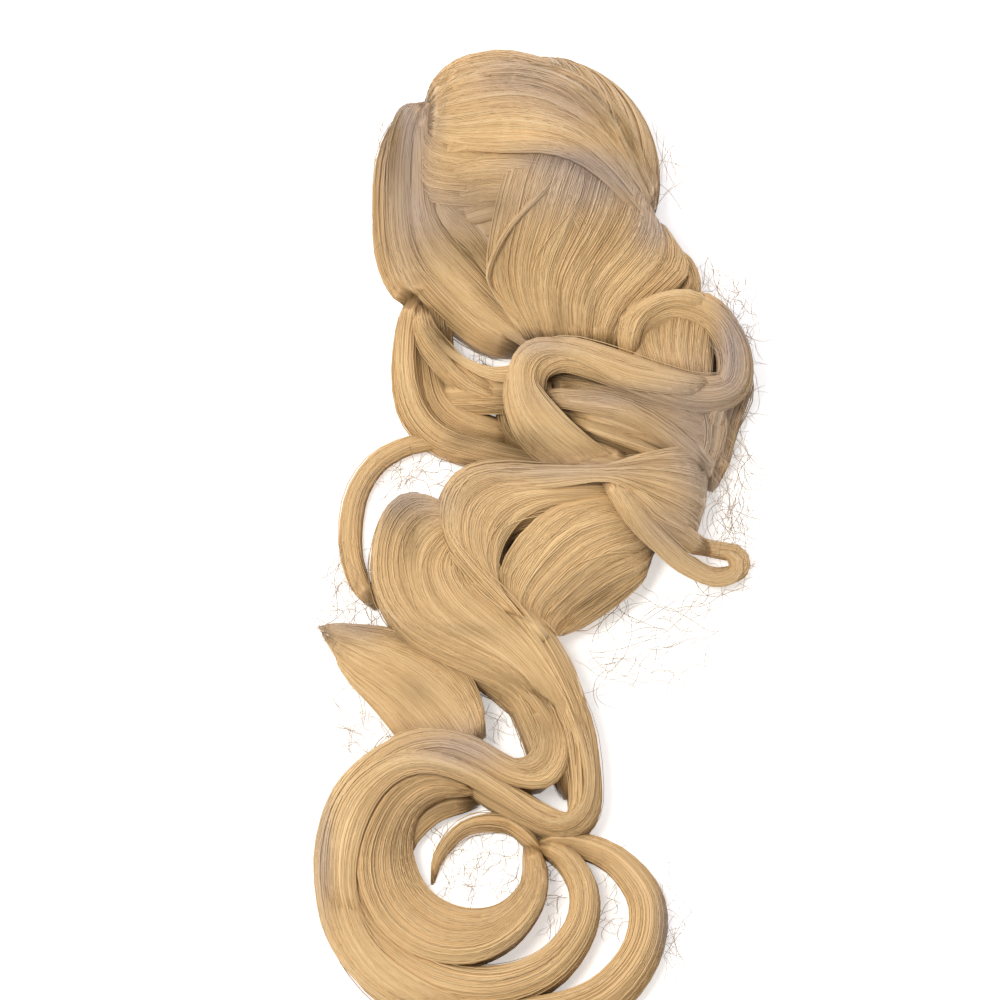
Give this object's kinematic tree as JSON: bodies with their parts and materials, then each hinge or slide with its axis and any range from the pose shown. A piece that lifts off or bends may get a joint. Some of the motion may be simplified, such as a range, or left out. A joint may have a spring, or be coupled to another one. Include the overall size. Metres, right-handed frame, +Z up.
{
  "type": "clip-in hairpiece",
  "caption": "Long curled clip-in hairpiece laid flat: a domed crown over a claw clip, wavy locks falling from it and a coil of curled tips.",
  "frame": {"origin": "middle of the laid piece, on the surface it rests on", "axes": "+Z up from the surface, +Y from the coil of tips towards the clip, +X to the right seen from above"},
  "size_m": [0.1922, 0.4454, 0.0599],
  "materials": {
    "hair": "golden blonde synthetic hair with a soft sheen along the strands",
    "clip_plastic": "satin moulded plastic in a shade near the hair"
  },
  "bodies": {
    "root": {"claw_clip": "clip_plastic", "crown": "hair", "fan": "hair", "left_loop": "hair", "left_curl": "hair", "curl_lock": "hair", "right_drop": "hair", "right_loop": "hair", "body_wave": "hair", "left_bow": "hair", "stream": "hair", "left_point": "hair", "tail_coil": "hair"}
  },
  "joints": []
}
